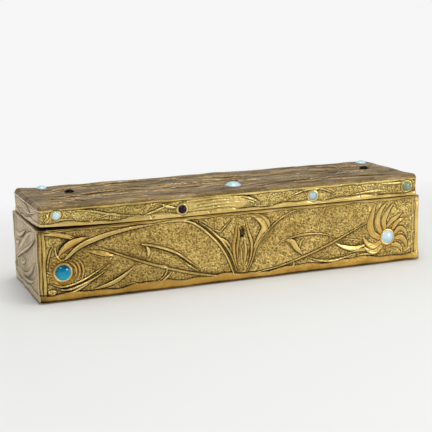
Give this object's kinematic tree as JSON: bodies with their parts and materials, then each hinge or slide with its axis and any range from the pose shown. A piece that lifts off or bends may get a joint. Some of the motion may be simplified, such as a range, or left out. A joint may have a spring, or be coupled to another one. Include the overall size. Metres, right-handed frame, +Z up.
{
  "type": "jewelry box",
  "caption": "Long brass covered wooden box with a hinged lid, embossed leaf and stem ornament, round cabochons, velvet lining and a small lock.",
  "frame": {"origin": "middle of the underside, on the surface that the box stands on", "axes": "+X to the right along the length, +Y to the back, +Z up"},
  "size_m": [0.324, 0.0964, 0.0751],
  "materials": {
    "brass_sheet": "embossed and burnished",
    "brass_fittings": "filed and polished",
    "steel_parts": "plain",
    "carcass_wood": "planed",
    "velvet": "short pile",
    "under_cloth": "felt",
    "turquoise_glass": "opaque cast, polished",
    "blue_glass": "polished",
    "purple_glass": "polished",
    "opal_glass": "milky, polished",
    "green_glass": "milky, polished",
    "black_glass": "polished"
  },
  "bodies": {
    "case": {"base_cloth": "under_cloth", "floor_board": "carcass_wood", "front_board": "carcass_wood", "back_board": "carcass_wood", "left_board": "carcass_wood", "right_board": "carcass_wood", "front_cladding": "brass_sheet", "back_cladding": "brass_sheet", "left_cladding": "brass_sheet", "right_cladding": "brass_sheet", "front_blue_stone": "blue_glass", "front_turquoise_stone": "turquoise_glass", "left_green_stone": "green_glass", "right_green_stone": "green_glass", "left_hinge_case_leaf": "brass_fittings", "right_hinge_case_leaf": "brass_fittings", "left_hinge_pin": "steel_parts", "right_hinge_pin": "steel_parts", "hinge_case_screws": "brass_fittings", "lock_plate": "brass_fittings", "lock_cap": "brass_fittings", "lock_spring": "steel_parts", "lock_screws": "brass_fittings", "floor_lining": "velvet", "front_lining": "velvet", "back_lining": "velvet", "left_lining": "velvet", "right_lining": "velvet"},
    "bolt": {"lock_bolt": "brass_fittings"},
    "lid": {"lid_top_board": "carcass_wood", "lid_front_rail": "carcass_wood", "lid_back_rail": "carcass_wood", "lid_left_rail": "carcass_wood", "lid_right_rail": "carcass_wood", "lid_top_cladding": "brass_sheet", "lid_front_band": "brass_sheet", "lid_back_band": "brass_sheet", "lid_left_band": "brass_sheet", "lid_right_band": "brass_sheet", "lid_turquoise_stone_left": "turquoise_glass", "lid_turquoise_stone_middle": "turquoise_glass", "lid_turquoise_stone_right": "turquoise_glass", "lid_dark_stone_left": "black_glass", "lid_dark_stone_right": "black_glass", "band_turquoise_stone": "turquoise_glass", "band_purple_stone": "purple_glass", "band_opal_stone": "opal_glass", "band_green_stone": "green_glass", "left_hinge_lid_leaf": "brass_fittings", "right_hinge_lid_leaf": "brass_fittings", "hinge_lid_screws": "brass_fittings", "strike_plate": "brass_fittings", "strike_screws": "brass_fittings", "lid_pad": "velvet", "lid_front_lining": "velvet", "lid_back_lining": "velvet", "lid_left_lining": "velvet", "lid_right_lining": "velvet", "lid_band_pins": "brass_fittings"}
  },
  "joints": [
    {"name": "lid_hinge", "type": "hinge", "parent": "case", "child": "lid", "pos_m": [0, 0.0454, 0.05485], "axis": [-1, 0, 0], "range_deg": [0, 100]},
    {"name": "bolt_slide", "type": "slide", "parent": "case", "child": "bolt", "axis": [-1, 0, 0], "range_m": [0, 0.0025]}
  ]
}
